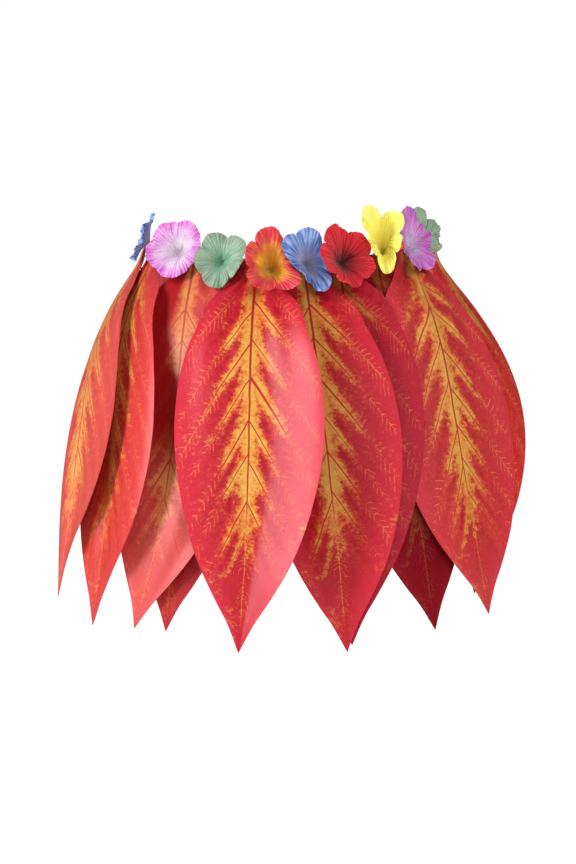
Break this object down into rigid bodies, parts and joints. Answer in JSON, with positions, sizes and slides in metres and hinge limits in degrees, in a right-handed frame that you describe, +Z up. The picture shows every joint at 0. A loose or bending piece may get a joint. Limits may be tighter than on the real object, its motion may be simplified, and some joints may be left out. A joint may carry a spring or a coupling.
{
  "type": "ti leaf skirt",
  "caption": "Costume hula skirt of wide printed cloth leaves hung from an elastic waistband, with a row of cloth hibiscus-style flowers around the waist.",
  "frame": {"origin": "centre of the waistband's oval, at the mean height of its top edge, where the wearer's waist holds the skirt", "axes": "+Z up along the wearer's body, +X to the right of a viewer in front, the skirt's front faces -Y"},
  "size_m": [0.4359, 0.3847, 0.4034],
  "materials": {
    "band": "woven elastic, deep red",
    "leaf": "satin weave, red with a golden yellow vein print",
    "blue": "satin weave, blue petals paling to a lavender white middle",
    "pink": "satin weave, orchid pink petals paling to a white middle",
    "orchid": "satin weave, orchid purple petals with a paler streaked middle",
    "green": "satin weave, pale sea green, slightly mottled",
    "orange": "satin weave, orange red petals with a yellow throat",
    "red": "satin weave, bright red with a dark throat",
    "yellow": "satin weave, bright yellow"
  },
  "bodies": {
    "root": {"waistband": "band", "leaf_01": "leaf", "leaf_02": "leaf", "leaf_03": "leaf", "leaf_04": "leaf", "leaf_05": "leaf", "leaf_06": "leaf", "leaf_07": "leaf", "leaf_08": "leaf", "leaf_09": "leaf", "leaf_10": "leaf", "leaf_11": "leaf", "leaf_12": "leaf", "leaf_13": "leaf", "leaf_14": "leaf", "leaf_15": "leaf", "leaf_16": "leaf", "leaf_17": "leaf", "flower_01": "blue", "flower_02": "pink", "flower_03": "green", "flower_04": "orange", "flower_05": "blue", "flower_06": "red", "flower_07": "yellow", "flower_08": "orchid", "flower_09": "green", "flower_10": "orange", "flower_11": "blue", "flower_12": "red", "flower_13": "yellow", "flower_14": "pink", "flower_15": "green", "flower_16": "red", "flower_17": "orange"}
  },
  "joints": []
}
